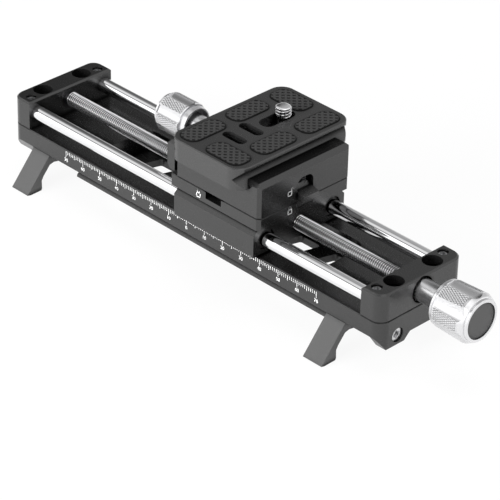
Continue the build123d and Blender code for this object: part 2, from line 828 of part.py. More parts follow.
# ---- moving jaw ----
plate_left_x = plate_x - plate_half_width
hook_difference = plate_lip_z - plate_left_x + hook_gap
jaw_profile = [
    (jaw_left_x, jaw_bottom_z),
    (jaw_right_x, jaw_bottom_z),
    (jaw_right_x, clamp_floor_z + loose),
    (plate_left_x - loose, clamp_floor_z + loose),
    (plate_left_x - loose, hook_difference + plate_left_x - loose),
    (jaw_tip_x, hook_difference + jaw_tip_x),
    (jaw_tip_x, jaw_outer_top_z),
    (jaw_left_x + jaw_top_chamfer, jaw_outer_top_z),
    (jaw_left_x, jaw_outer_top_z - jaw_top_chamfer),
]
jaw_blank = prism(jaw_profile, Plane.XZ, index_half, both=True)
with BuildPart() as moving_jaw:
    add(jaw_blank)
    outer_edges = moving_jaw.faces().sort_by(Axis.X)[0].edges().filter_by(Axis.Y)
    fillet(outer_edges.sort_by(Axis.Z)[0], jaw_corner_r)
    chamfer(moving_jaw.faces().sort_by(Axis.Z)[-1].edges().filter_by(Axis.X), jaw_end_chamfer)
    middle_x = (jaw_left_x + jaw_right_x) / 2
    x_hole(middle_x, 0, clamp_knob_z, spindle_r + running, jaw_right_x - jaw_left_x)
    for y in (-jaw_pin_y, jaw_pin_y):
        x_hole(middle_x, y, jaw_pin_z, jaw_pin_r, jaw_right_x - jaw_left_x)
save(moving_jaw.part, "moving_jaw")

with BuildPart() as jaw_pins:
    for y in (-jaw_pin_y, jaw_pin_y):
        x_cylinder((jaw_left_x + jaw_pin_tip_x) / 2, y, jaw_pin_z, jaw_pin_r, jaw_pin_tip_x - jaw_left_x)
save(jaw_pins.part, "jaw_pins")

with BuildPart() as clamp_screw:
    x_cylinder(
        (spindle_head_x + spindle_tip_x) / 2, 0, clamp_knob_z, spindle_r, spindle_tip_x - spindle_head_x
    )
save(clamp_screw.part, "clamp_screw")

clamp_knob_profile = [
    (cknob_far_x, cknob_cap_r + cap_gap),
    (cknob_far_x, cknob_rim_r),
    (cknob_rim_x, cknob_rim_r),
    (cknob_rim_x, cknob_groove_r),
    (cknob_body_x, cknob_groove_r),
    (cknob_body_x, cknob_r),
    (cknob_grip_end_x, cknob_r),
    (cknob_grip_end_x, cknob_groove_r),
    (cknob_ring_x, cknob_groove_r),
    (cknob_ring_x, cknob_ring_r),
    (cknob_mouth_x, cknob_mouth_r),
    (cknob_mouth_x, cknob_cup_r),
    (cknob_cup_x, cknob_cup_r),
    (cknob_cup_x, cknob_cone_r[0]),
    (cknob_hub_x, cknob_cone_r[0]),
    (cknob_cone_x, cknob_cone_r[1]),
    (cknob_cone_x, spindle_r),
    (spindle_head_x, spindle_r),
    (spindle_head_x, 0),
    (cknob_far_x + cap_depth, 0),
    (cknob_far_x + cap_depth, cknob_cap_r + cap_gap),
]
clamp_grip_x = (cknob_body_x + cknob_grip_end_x) / 2
clamp_knob = fluted(
    clamp_knob_profile,
    clamp_knob_z,
    cknob_r,
    cknob_flute_r,
    cknob_flute_depth,
    clamp_grip_x,
    cknob_grip_end_x - cknob_body_x - 2 * flute_margin,
)
save(clamp_knob, "clamp_knob")

with BuildPart() as clamp_knob_cap:
    cap_x = cknob_far_x + (cap_depth + cap_inset) / 2
    x_cylinder(cap_x, 0, clamp_knob_z, cknob_cap_r, cap_depth - cap_inset)
save(clamp_knob_cap.part, "clamp_knob_cap")

# ---- quick-release plate: V-grooved section along Y, cut to a rounded plan ----
rim_groove_z = plate_groove_z + plate_half_width - plate_rim_step - plate_groove_half_width
plate_side = [
    (plate_half_width, plate_bottom_z),
    (plate_half_width, plate_lip_z),
    (plate_groove_half_width, plate_groove_z),
    (plate_half_width - plate_rim_step, rim_groove_z),
    (plate_half_width - plate_rim_step, plate_rim_z),
    (plate_half_width, plate_rim_z),
    (plate_half_width, plate_top_z),
]
plate_section = [(plate_x + x, z) for x, z in plate_side]
plate_section += [(plate_x - x, z) for x, z in reversed(plate_side)]
plate_blank = prism(plate_section, Plane.XZ, plate_half_length, both=True)
long_slot_middle = sum(long_slot_y) / 2
long_slot_length = long_slot_y[1] - long_slot_y[0]

with BuildPart() as release_plate:
    add(plate_blank)
    with BuildSketch(Plane.XY.offset(plate_bottom_z)):
        with Locations((plate_x, 0)):
            RectangleRounded(2 * plate_half_width, 2 * plate_half_length, plate_corner_r)
    extrude(amount=plate_top_z - plate_bottom_z, mode=Mode.INTERSECT)
    chamfer(release_plate.faces().sort_by(Axis.Z)[-1].edges(), index_edge)
    with BuildSketch(Plane.XY.offset(slot_ledge_z)):
        with Locations(*slot_centres):
            SlotOverall(slot_length, slot_width)
    extrude(amount=plate_top_z - slot_ledge_z, mode=Mode.SUBTRACT)
    with BuildSketch(Plane.XY.offset(plate_bottom_z)):
        with Locations(*slot_centres):
            SlotOverall(slot_length - 2 * slot_ledge, slot_width - 2 * slot_ledge)
        with Locations((long_slot_x, long_slot_middle)):
            SlotOverall(long_slot_length, long_slot_width, rotation=90)
    extrude(amount=plate_top_z, mode=Mode.SUBTRACT)
    # wider slot from below for the head of the camera screw
    with BuildSketch(Plane.XY.offset(plate_bottom_z)):
        with Locations((long_slot_x, long_slot_middle)):
            SlotOverall(
                long_slot_length + counter_slot_width - long_slot_width,
                counter_slot_width,
                rotation=90,
            )
    extrude(amount=counter_slot_z - plate_bottom_z, mode=Mode.SUBTRACT)
    for x, y, width, length in pads:
        with BuildSketch(Plane.XY.offset(plate_top_z - pad_depth)):
            with Locations((x, y)):
                RectangleRounded(width + 2 * running, length + 2 * running, pad_corner_r)
        extrude(amount=pad_depth, mode=Mode.SUBTRACT)
save(release_plate.part, "release_plate")

with BuildPart() as plate_pads:
    for x, y, width, length in pads:
        with BuildSketch(Plane.XY.offset(plate_top_z - pad_depth)):
            with Locations((x, y)):
                RectangleRounded(width, length, pad_corner_r)
        extrude(amount=pad_depth + pad_proud)
save(plate_pads.part, "plate_pads")

# ---- camera screw ----
head_low_z, head_high_z = camera_head_z
retainer_low_z, retainer_high_z = retainer_z
camera_outline = [
    (0, head_low_z),
    (camera_head_r, head_low_z),
    (camera_head_r, head_high_z),
    (camera_neck_r, head_high_z),
    (camera_neck_r, camera_thread_z),
    (camera_r, camera_thread_z),
    (camera_r, camera_top_z - camera_tip),
    (camera_r - camera_tip, camera_top_z),
    (0, camera_top_z),
]
with BuildPart() as camera_screw:
    with BuildSketch(Plane.XZ.offset(-camera_y)):
        with BuildLine():
            Polyline(*[(long_slot_x + r, z) for r, z in camera_outline], close=True)
        make_face()
    revolve(axis=Axis((long_slot_x, camera_y, 0), (0, 0, 1)))
    # coin slot across the head
    with Locations((long_slot_x, camera_y, head_low_z)):
        Box(2 * camera_head_r, coin_slot_width, 2 * coin_slot_depth, mode=Mode.SUBTRACT)
save(camera_screw.part, "camera_screw")

with BuildPart() as screw_retainer:
    with Locations((long_slot_x, camera_y, (retainer_low_z + retainer_high_z) / 2)):
        Cylinder(retainer_r, retainer_high_z - retainer_low_z)
        Cylinder(camera_neck_r + running, retainer_high_z - retainer_low_z, mode=Mode.SUBTRACT)
save(screw_retainer.part, "screw_retainer")
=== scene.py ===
# Looks of the macro focusing rail: materials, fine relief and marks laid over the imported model.
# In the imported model's frame: X along the rail, Y away from the scale side, Z up.
# Sizes are in millimetres unless a comment says metres, and turn into metres where objects are made.
import math

import bpy
from mathutils import Matrix, Vector


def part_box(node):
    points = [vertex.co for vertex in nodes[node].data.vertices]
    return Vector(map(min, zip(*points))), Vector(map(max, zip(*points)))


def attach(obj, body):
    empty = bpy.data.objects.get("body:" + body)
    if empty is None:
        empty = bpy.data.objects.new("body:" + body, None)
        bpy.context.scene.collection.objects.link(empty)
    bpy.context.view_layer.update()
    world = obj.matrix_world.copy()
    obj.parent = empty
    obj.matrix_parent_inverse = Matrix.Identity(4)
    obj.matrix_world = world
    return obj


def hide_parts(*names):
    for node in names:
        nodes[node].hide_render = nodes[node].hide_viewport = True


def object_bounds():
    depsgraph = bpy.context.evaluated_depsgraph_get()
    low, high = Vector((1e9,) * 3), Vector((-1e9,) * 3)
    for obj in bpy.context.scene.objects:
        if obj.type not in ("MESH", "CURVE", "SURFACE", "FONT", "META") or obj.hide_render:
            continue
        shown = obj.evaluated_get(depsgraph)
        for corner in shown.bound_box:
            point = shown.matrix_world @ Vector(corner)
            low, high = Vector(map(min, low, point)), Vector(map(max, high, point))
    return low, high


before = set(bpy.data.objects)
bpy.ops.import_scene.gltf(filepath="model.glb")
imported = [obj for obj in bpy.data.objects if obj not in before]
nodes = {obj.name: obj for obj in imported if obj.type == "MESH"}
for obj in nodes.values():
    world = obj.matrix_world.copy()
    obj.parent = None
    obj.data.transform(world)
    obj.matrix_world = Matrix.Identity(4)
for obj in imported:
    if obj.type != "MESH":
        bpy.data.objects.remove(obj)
cad_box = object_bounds()
scene = bpy.context.scene
MM = 0.001
WHITE = (1, 1, 1, 1)


# ---- sizes in millimetres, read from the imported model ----
def span(name):
    """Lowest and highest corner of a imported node, in millimetres."""
    return [[round(value / MM, 2) for value in corner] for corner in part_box(name)]


def middle(name):
    """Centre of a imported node's box, in millimetres."""
    low, high = span(name)
    return [round((a + b) / 2, 2) for a, b in zip(low, high)]


X, Y, Z = range(3)
LOW, HIGH = range(2)
ROD_Y = middle("rod_far")[Y]
ROD_Z = middle("rod_far")[Z]
ROD_HALF = span("rod_far")[HIGH][X]
ROD_R = round(span("rod_far")[HIGH][Z] - ROD_Z, 2)
SCREW_R = round(span("lead_screw")[HIGH][Z] - ROD_Z, 2)
JOURNAL_X = (span("lead_screw")[LOW][X], span("lead_screw")[HIGH][X])
CLAMP_KNOB_Z = middle("clamp_knob")[Z]
RAIL_NEAR_Y = span("base_rail")[LOW][Y]
RAIL_TOP_Z = span("base_rail")[HIGH][Z]
INDEX_NEAR_Y = span("index_plate")[LOW][Y]
INDEX_RIGHT_X = span("index_plate")[HIGH][X]
CLAMP_RIGHT_X = span("clamp_body")[HIGH][X]
PLATE_X = middle("release_plate")[X]
PAD_Z = span("plate_pads")[LOW][Z]
PAD_TOP = span("plate_pads")[HIGH][Z]
CAMERA_X, CAMERA_Y, _ = middle("camera_screw")


# ---- material helpers; reaches, depths and radii in metres ----
# painted shade in recesses: reach in metres and sharpness, first for the anodised parts, then for screw
# sockets
RECESS_REACH = 0.0022
RECESS_POWER = 2.2
SOCKET_REACH = 0.0007
SOCKET_POWER = 1.5
AO_SAMPLES = 6
EDGE_SAMPLES = 4
# waves per metre
CASE_GRAIN = 2600.0
CASE_CLOUD = 38.0
MATT_GRAIN = 3000.0
CASE_RELIEF = 0.12
HALF_SPECULAR = 0.5
GRAIN_DEPTH = 0.00004
BRUSH_DEPTH = 0.00002
MATT_DEPTH = 0.00005
CASE_ROUNDING = 0.00012
SOCKET_ROUNDING = 0.0001


class Tree:
    """Small helper round the node tree of a material or of the world."""

    def __init__(self, owner):
        owner.use_nodes = True
        self.owner = owner
        self.nodes = owner.node_tree.nodes
        self.links = owner.node_tree.links
        self.shader = self.nodes.get("Principled BSDF")

    def add(self, kind, **values):
        """New node; each value is a property of it or, failing that, the input of that name."""
        node = self.nodes.new(kind)
        for key, value in values.items():
            if hasattr(node, key):
                setattr(node, key, value)
            else:
                node.inputs[key.replace("_", " ")].default_value = value
        return node

    def link(self, source, target):
        self.links.new(source, target)

    def noise(self, scale, detail=3.0, stretch=(1, 1, 1)):
        """Noise over the object's own coordinates, in waves per metre."""
        coords = self.add("ShaderNodeTexCoord")
        mapping = self.add("ShaderNodeMapping")
        mapping.inputs["Scale"].default_value = stretch
        self.link(coords.outputs["Object"], mapping.inputs["Vector"])
        noise = self.add("ShaderNodeTexNoise", Scale=scale, Detail=detail)
        self.link(mapping.outputs["Vector"], noise.inputs["Vector"])
        return noise.outputs["Fac"]

    def ramp(self, source, low, high):
        """Value mapped from 0..1 to low..high."""
        mapped = self.add("ShaderNodeMapRange")
        mapped.inputs["To Min"].default_value = low
        mapped.inputs["To Max"].default_value = high
        self.link(source, mapped.inputs["Value"])
        return mapped.outputs["Result"]

    def tint(self, source, low, high):
        """Colour from low to high; each is a grey level or a colour."""
        mix = self.add("ShaderNodeMix", data_type="RGBA")
        mix.inputs[6].default_value = (*low, 1) if isinstance(low, tuple) else (low, low, low, 1)
        mix.inputs[7].default_value = (*high, 1) if isinstance(high, tuple) else (high, high, high, 1)
        self.link(source, mix.inputs[0])
        return mix.outputs[2]

    def multiply(self, colour, factor):
        """Colour times a level."""
        mix = self.add("ShaderNodeMix", data_type="RGBA", blend_type="MULTIPLY")
        mix.inputs[0].default_value = 1.0
        self.link(colour, mix.inputs[6])
        self.link(factor, mix.inputs[7])
        return mix.outputs[2]

    def darken(self, colour):
        """Colour times the painted shade stored on the mesh, which is low in the fine grooves."""
        shade = self.add("ShaderNodeAttribute", attribute_name="shade")
        return self.multiply(colour, shade.outputs["Fac"])

    def openness(self, reach, power):
        """Painted shade from ambient occlusion: 1 on open faces, towards 0 inside recesses and gaps within
        reach.
        """
        space = self.add("ShaderNodeAmbientOcclusion", samples=AO_SAMPLES, Distance=reach)
        return self.math("POWER", space.outputs["AO"], power)

    def math(self, operation, first, second=None):
        """Math node; each input is a socket or a number."""
        node = self.add("ShaderNodeMath", operation=operation)
        for index, value in enumerate((first, second)):
            if isinstance(value, (int, float)):
                node.inputs[index].default_value = value
            elif value is not None:
                self.link(value, node.inputs[index])
        return node.outputs[0]

    def blend(self, share, first, second):
        """Mix of two shaders."""
        mix = self.add("ShaderNodeMixShader")
        self.link(share, mix.inputs[0])
        self.link(first.outputs[0], mix.inputs[1])
        self.link(second.outputs[0], mix.inputs[2])
        return mix

    def bump(self, source, strength, distance, rounding=0.0):
        """Fine relief; rounding softens the edges of the mesh to that radius."""
        bump = self.add("ShaderNodeBump", Strength=strength, Distance=distance)
        self.link(source, bump.inputs["Height"])
        if rounding:
            bevel = self.add("ShaderNodeBevel", samples=EDGE_SAMPLES)
            bevel.inputs["Radius"].default_value = rounding
            self.link(bevel.outputs["Normal"], bump.inputs["Normal"])
        self.link(bump.outputs["Normal"], self.shader.inputs["Normal"])


def material(name):
    return Tree(bpy.data.materials.new(name))


def anodised(name, low, high, roughness=(0.22, 0.3), ior=1.66):
    """Black anodised aluminium: nearly black itself, with a glossy oxide layer and fine grain, and with
    painted shade that darkens its colour and gloss in recesses.
    """
    tree = material(name)
    grain = tree.noise(CASE_GRAIN, 2.0)
    cloud = tree.noise(CASE_CLOUD, 3.0)
    # painted shade: colour and specular level fall towards 0 in recesses, pockets and gaps
    openness = tree.openness(RECESS_REACH, RECESS_POWER)
    colour = tree.multiply(tree.tint(cloud, low, high), openness)
    tree.link(colour, tree.shader.inputs["Base Color"])
    tree.link(tree.ramp(grain, *roughness), tree.shader.inputs["Roughness"])
    tree.shader.inputs["IOR"].default_value = ior
    gloss = tree.math("MULTIPLY", openness, HALF_SPECULAR)
    tree.link(gloss, tree.shader.inputs["Specular IOR Level"])
    tree.bump(grain, CASE_RELIEF, GRAIN_DEPTH, CASE_ROUNDING)
    return tree.owner


def metal(
    name, low, high, roughness, stretch=(1, 1, 1), scale=900.0, relief=0.08, rounding=0.0, shaded=False
):
    """Bare or plated metal with brushing along the stretched axes; shaded metal gets painted shade in its
    grooves, and rounded metal in its sockets.
    """
    tree = material(name)
    grain = tree.noise(scale, 3.0, stretch)
    colour = tree.tint(grain, low, high)
    # painted shade: the mesh's shade levels darken the colour in thread roots, knurl grooves and on the
    # camera screw's neck
    if shaded:
        colour = tree.darken(colour)
    # with rounding, painted shade in sockets and recesses darkens the colour
    elif rounding:
        colour = tree.multiply(colour, tree.openness(SOCKET_REACH, SOCKET_POWER))
    tree.link(colour, tree.shader.inputs["Base Color"])
    tree.link(tree.ramp(grain, *roughness), tree.shader.inputs["Roughness"])
    tree.shader.inputs["Metallic"].default_value = 1.0
    tree.bump(grain, relief, BRUSH_DEPTH, rounding)
    return tree.owner


def matt(name, low, high, roughness=(0.6, 0.75), relief=0.3, specular=HALF_SPECULAR, shaded=False):
    """Plain matt finish, such as rubber, polymer or paint, with a fine even grain; when shaded, it also
    takes the painted shade stored on the mesh.
    """
    tree = material(name)
    grain = tree.noise(MATT_GRAIN, 3.0)
    colour = tree.tint(grain, low, high)
    # painted shade: the mesh's shade levels darken the rubber in the pad pits and round the rims
    tree.link(tree.darken(colour) if shaded else colour, tree.shader.inputs["Base Color"])
    tree.link(tree.ramp(grain, *roughness), tree.shader.inputs["Roughness"])
    tree.shader.inputs["Specular IOR Level"].default_value = specular
    tree.bump(grain, relief, MATT_DEPTH)
    return tree.owner


BLACK = anodised("black_anodised", 0.005, 0.008)
PLATE = anodised("plate_anodised", 0.016, 0.022)
LEG = anodised("leg_anodised", 0.022, 0.03, (0.3, 0.38), 1.8)
CAP = anodised("cap_anodised", 0.035, 0.05, (0.45, 0.55))
CHROME = metal("rod_chrome", (0.78, 0.78, 0.79), (0.84, 0.84, 0.85), (0.06, 0.1), (1, 8, 8), 300.0, 0.02)
# the rounding of these two steels also paints shade into their sockets
STEEL = metal(
    "screw_steel", (0.62, 0.62, 0.63), (0.74, 0.74, 0.75), (0.24, 0.34), rounding=SOCKET_ROUNDING
)
DARK_STEEL = metal(
    "blackened_steel", (0.05, 0.05, 0.052), (0.08, 0.08, 0.082), (0.34, 0.44), rounding=SOCKET_ROUNDING
)
SATIN = metal(
    "knob_satin", (0.7, 0.7, 0.71), (0.78, 0.78, 0.79), (0.24, 0.34), (1, 12, 12), 500.0, 0.04, shaded=True
)
THREAD = metal("thread_steel", (0.78, 0.78, 0.79), (0.86, 0.86, 0.87), (0.2, 0.28), shaded=True)
BUSH = matt("bush_polymer", 0.03, 0.045, (0.4, 0.5), 0.1)
RUBBER = matt("pad_rubber", 0.028, 0.04, specular=0.2, shaded=True)
PAINT = matt("white_mark", 0.78, 0.88, (0.5, 0.6), 0.1)


def dress(name, look):
    """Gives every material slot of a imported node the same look."""
    mesh = nodes[name].data
    if not mesh.materials:
        mesh.materials.append(look)
    for index in range(len(mesh.materials)):
        mesh.materials[index] = look


LOOKS = {
    BLACK: (
        "base_rail", "end_block_left", "end_block_right", "carriage_body", "index_plate",
        "clamp_body", "moving_jaw",
    ),
    PLATE: ("release_plate", "latch_lever"),
    LEG: ("leg_near_left", "leg_near_right", "leg_far_left", "leg_far_right"),
    STEEL: (
        "rod_set_screws", "leg_pivots", "index_screws", "turn_pivot", "jaw_pins", "clamp_screw",
        "screw_retainer", "tripod_bush",
    ),
    DARK_STEEL: ("block_screws", "screw_bearings", "latch_spring"),
    CAP: ("drive_knob_cap", "clamp_knob_cap"),
    BUSH: ("rod_bushes", "drive_nut"),
}
for look, names in LOOKS.items():
    for node_name in names:
        dress(node_name, look)


# ---- mesh helpers; all lengths in millimetres ----
SHARP_ANGLE = math.radians(38)


def piece(name, points, faces, look, body, slot, smooth=True, shade=None):
    """New mesh object that rides on a body.

    slot is not used; shade is a level for each point.
    """
    mesh = bpy.data.meshes.new(name)
    mesh.from_pydata([[c * MM for c in p] for p in points], [], faces)
    # the shade levels for each point are painted shade, which the shaded materials multiply into their
    # colour
    if shade:
        levels = mesh.attributes.new("shade", "FLOAT", "POINT")
        levels.data.foreach_set("value", shade)
    mesh.validate()
    mesh.update()
    if smooth:
        mesh.polygons.foreach_set("use_smooth", [True] * len(mesh.polygons))
        mesh.set_sharp_from_angle(angle=SHARP_ANGLE)
    mesh.materials.append(look)
    obj = bpy.data.objects.new(name, mesh)
    scene.collection.objects.link(obj)
    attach(obj, body)
    return obj


def tube(rings, centre, along="X"):
    """Points and faces of closed rings; rings are (position, [radii round the axis])."""
    points = []
    faces = []
    count = len(rings[0][1])
    for position, radii in rings:
        for index, radius in enumerate(radii):
            angle = 2 * math.pi * index / count
            side = radius * math.cos(angle)
            up = radius * math.sin(angle)
            if along == "X":
                points.append((position, centre[0] + side, centre[1] + up))
            else:
                points.append((centre[0] + side, centre[1] + up, position))
    for ring in range(len(rings) - 1):
        start = ring * count
        for index in range(count):
            after = (index + 1) % count
            faces.append((start + index, start + after, start + count + after, start + count + index))
    faces.append(tuple(reversed(range(count))))
    faces.append(tuple((len(rings) - 1) * count + index for index in range(count)))
    return points, faces


# ---- screw threads ----
# painted shade in the thread roots: the colour level there
ROOT_SHADE = 0.06
# height of the ridge: the slope times the distance from the root in pitches, less the drop
FLANK_SLOPE = 4.4
FLANK_DROP = 0.8
# share of the ridge's height at which the painted shade has faded to full brightness
FULL_SHADE_AT = 0.8


def helix_rings(start, end, pitch, root, crest, sides, per_turn):
    """Rings of a screw thread: the radius climbs from root to crest and back once a pitch."""
    rings = []
    steps = int((end - start) / pitch * per_turn)
    for step in range(steps + 1):
        position = start + (end - start) * step / steps
        radii = []
        for index in range(sides):
            phase = (position / pitch - index / sides) % 1.0
            ridge = (0.5 - abs(phase - 0.5)) * FLANK_SLOPE - FLANK_DROP
            radii.append(root + (crest - root) * min(1.0, max(0.0, ridge)))
        rings.append((position, radii))
    return rings


def groove_shade(rings, root, crest):
    """Painted shade of each point of threaded rings: dark at the root, full towards the crest."""
    span_r = (crest - root) * FULL_SHADE_AT
    return [
        ROOT_SHADE + (1 - ROOT_SHADE) * min(1.0, max(0.0, (radius - root) / span_r))
        for _, radii in rings
        for radius in radii
    ]


def plain(position, radius, sides):
    """One round ring."""
    return (position, [radius] * sides)


# ---- rods ----
ROD_SIDES = 96
ROD_EDGE = 0.6
for rod_name, rod_y in (("rod_near", -ROD_Y), ("rod_far", ROD_Y)):
    rod_rings = [
        plain(-ROD_HALF, ROD_R - ROD_EDGE, ROD_SIDES),
        plain(-ROD_HALF + ROD_EDGE, ROD_R, ROD_SIDES),
        plain(ROD_HALF - ROD_EDGE, ROD_R, ROD_SIDES),
        plain(ROD_HALF, ROD_R - ROD_EDGE, ROD_SIDES),
    ]
    rod = piece(rod_name + "_shine", *tube(rod_rings, (rod_y, ROD_Z)), CHROME, "rail", "rod_chrome")
    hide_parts(rod_name)

# ---- lead screw with a true helical thread ----
SIDES = 40
SCREW_PITCH = 1.0
SCREW_ROOT = 2.4
SCREW_HALF = 91.5
SCREW_RUNOUT = 0.05
RINGS_PER_TURN = 10
JOURNAL_R = 2.3
screw_rings = [plain(JOURNAL_X[0], JOURNAL_R, SIDES), plain(-SCREW_HALF, JOURNAL_R, SIDES)]
screw_rings += helix_rings(
    SCREW_RUNOUT - SCREW_HALF, SCREW_HALF - SCREW_RUNOUT, SCREW_PITCH, SCREW_ROOT, SCREW_R, SIDES,
    RINGS_PER_TURN
)
screw_rings += [plain(SCREW_HALF, JOURNAL_R, SIDES), plain(JOURNAL_X[1], JOURNAL_R, SIDES)]
screw_shade = groove_shade(screw_rings, SCREW_ROOT, SCREW_R)
journal_points = 2 * SIDES
screw_shade[:journal_points] = [1.0] * journal_points
screw_shade[-journal_points:] = [1.0] * journal_points
screw = piece(
    "lead_screw_thread", *tube(screw_rings, (0, ROD_Z)), THREAD, "drive", "screw_steel", shade=screw_shade
)
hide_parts("lead_screw")


# ---- knobs: turned outline, scooped flutes and diamond knurling ----
KNOB_SIDES = 600
KNOB_STEP = 0.16
SHAPED_SHARE = 0.75
KNURL_LENGTH = 1.9
KNURL_WIDTH = 0.95
KNURL_DEPTH = 0.24
# painted shade in the knurl grooves: how much darker their deepest points are
KNURL_SHADE = 0.55
KNURL_START = 0.2
# depth of the groove round each diamond: the slope times the nearness to its edge, less the drop
KNURL_SLOPE = 1.8
KNURL_DROP = 0.8
FLUTES = 6
FLUTE_ANGLE = 2 * math.pi / FLUTES
FLUTE_PHASE = math.radians(30)


def knob_point(x, radius, angle, crest, grip, scoop_r, scoop_depth, front):
    """Radius and painted shade of one point of a knob, after the scoops and the knurling.

    crest is the grip's full radius, grip its knurled stretch of x, and front the x past which
    a scoop runs out in a round end.
    """
    reach = crest + scoop_r - scoop_depth
    low, high = grip
    away = (angle - FLUTE_PHASE) % FLUTE_ANGLE
    away = min(away, FLUTE_ANGLE - away)
    past = max(0.0, x - front)
    inside = scoop_r ** 2 - past ** 2 - (reach * math.sin(away)) ** 2
    if x >= low and inside > 0:
        scooped = reach * math.cos(away) - math.sqrt(inside)
        if scooped < radius:
            return scooped, 1.0
    if low + KNURL_START < x < high:
        repeats = round(2 * math.pi * crest / KNURL_WIDTH)
        around = angle / (2 * math.pi) * repeats
        first = abs((x / KNURL_LENGTH + around) % 1.0 - 0.5) * 2
        second = abs((x / KNURL_LENGTH - around) % 1.0 - 0.5) * 2
        groove = max(0.0, max(first, second) * KNURL_SLOPE - KNURL_DROP)
        return radius - KNURL_DEPTH * groove, 1.0 - KNURL_SHADE * groove
    return radius, 1.0


def finer(outline, crest):
    """The outline with its wide stretches divided into short steps."""
    fine = []
    for (x0, r0), (x1, r1) in zip(outline, outline[1:]):
        shaped = min(r0, r1) > crest * SHAPED_SHARE and x1 > x0
        count = max(1, math.ceil((x1 - x0) / KNOB_STEP)) if shaped else 1
        fine += [(x0 + (x1 - x0) * n / count, r0 + (r1 - r0) * n / count) for n in range(count)]
    return fine + [outline[-1]]


def knob(name, outline, centre_z, body, replaced, **shape):
    """Turned knob; outline is (x, radius) along it, and shape is what knob_point needs."""
    rings = []
    shade = []
    for x, radius in finer(outline, shape["crest"]):
        made = [(radius, 1.0)] * KNOB_SIDES
        if radius > shape["crest"] * SHAPED_SHARE:
            angles = [2 * math.pi * n / KNOB_SIDES for n in range(KNOB_SIDES)]
            made = [knob_point(x, radius, angle, **shape) for angle in angles]
        rings.append((x, [r for r, _ in made]))
        shade += [level for _, level in made]
    obj = piece(name, *tube(rings, (0, centre_z)), SATIN, body, "knob_satin", shade=shade)
    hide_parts(replaced)


DRIVE_OUTLINE = [
    (101.0, 4.6), (109.6, 4.6), (113.6, 5.8), (113.6, 8.8), (114.0, 9.2), (114.9, 9.2),
    (114.95, 8.85), (115.25, 8.85), (115.3, 9.5), (127.6, 10.0), (128.4, 10.05), (128.6, 9.9),
    (130.0, 9.05), (130.15, 8.75), (130.2, 8.5), (130.35, 8.5), (130.45, 8.6), (131.0, 8.6),
    (131.2, 8.45), (131.2, 7.35), (129.2, 7.35), (129.2, 0.5),
]
knob(
    "drive_knob_grip", DRIVE_OUTLINE, ROD_Z, "drive", "drive_knob",
    crest=9.8, grip=(115.5, 127.3), scoop_r=7.0, scoop_depth=0.85, front=127.5
)

CLAMP_OUTLINE = [
    (-33.0, 0.5), (-33.0, 5.55), (-34.5, 5.55), (-34.5, 6.9), (-34.3, 7.1), (-33.4, 7.1),
    (-33.35, 6.7), (-33.05, 6.7), (-33.0, 7.8), (-32.8, 8.0), (-20.9, 8.0), (-20.6, 7.7),
    (-20.55, 6.7), (-19.75, 6.7), (-19.7, 7.25), (-19.5, 7.4), (-17.9, 7.0), (-17.8, 6.85),
    (-17.8, 6.3), (-21.0, 6.3), (-21.0, 4.7), (-17.4, 4.7), (-8.8, 3.8),
]
knob(
    "clamp_knob_grip", CLAMP_OUTLINE, CLAMP_KNOB_Z, "clamp_drive", "clamp_knob",
    crest=8.0, grip=(-32.7, -21.5), scoop_r=5.5, scoop_depth=0.7, front=-21.9
)

# ---- camera screw: round head in the slot, plain neck, coarse thread and a domed end ----
CAMERA_PITCH = 1.27
CAMERA_THREAD = (51.4, 54.6)
CAMERA_ROOT = 2.5
CAMERA_CREST = 3.17
CAMERA_FULL_R = 3.1
CAMERA_RINGS_PER_TURN = 12
# painted shade over the head and plain neck that sit down in the slot
NECK_SHADE = 0.25
# height and radius of each ring
CAMERA_HEAD = ((42.2, 5.4), (42.4, 5.6), (44.9, 5.6), (45.1, 5.4), (45.1, 2.75), (51.3, 2.7))
CAMERA_DOME = ((54.75, 2.9), (55.05, 2.65), (55.25, 2.2), (55.35, 1.6), (55.4, 0.9))
camera_rings = [plain(z, radius, SIDES) for z, radius in CAMERA_HEAD]
camera_rings += helix_rings(
    *CAMERA_THREAD, CAMERA_PITCH, CAMERA_ROOT, CAMERA_CREST, SIDES, CAMERA_RINGS_PER_TURN
)
camera_rings += [plain(z, radius, SIDES) for z, radius in CAMERA_DOME]
camera_shade = groove_shade(camera_rings, CAMERA_ROOT, CAMERA_FULL_R)
head_points = len(CAMERA_HEAD) * SIDES
dome_points = len(CAMERA_DOME) * SIDES
camera_shade[:head_points] = [NECK_SHADE] * head_points
camera_shade[-dome_points:] = [1.0] * dome_points
camera = piece(
    "camera_screw_thread", *tube(camera_rings, (CAMERA_X, CAMERA_Y), "Z"), THREAD, "camera_screw_body",
    "screw_steel", shade=camera_shade
)
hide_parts("camera_screw")


# ---- pads: a rubber mat with rows of small diagonal pits on each ----
# centre x, centre y, width and length of each pad
PADS = (
    (4.8, -18.4, 9.3, 19.2),
    (5.0, 4.7, 9.2, 18.6),
    (10.3, 23.1, 18.2, 9.6),
    (23.8, -23.5, 18.4, 9.8),
    (29.2, -5.4, 9.6, 19.2),
    (29.1, 18.0, 9.6, 19.2),
)
PAD_R = 3.8
PAD_CELL = 0.22
PAD_RIM = 0.3
PAD_RIM_DROP = 0.15
PIT_PITCH = 2.15
PIT_SHARE = (0.66, 0.55)
PIT_WALL = 0.2
PIT_DEPTH = 0.4
# painted shade in the pits, round the lower rim and on the wall
PIT_SHADE = 0.08
DIAGONAL = math.sqrt(0.5)


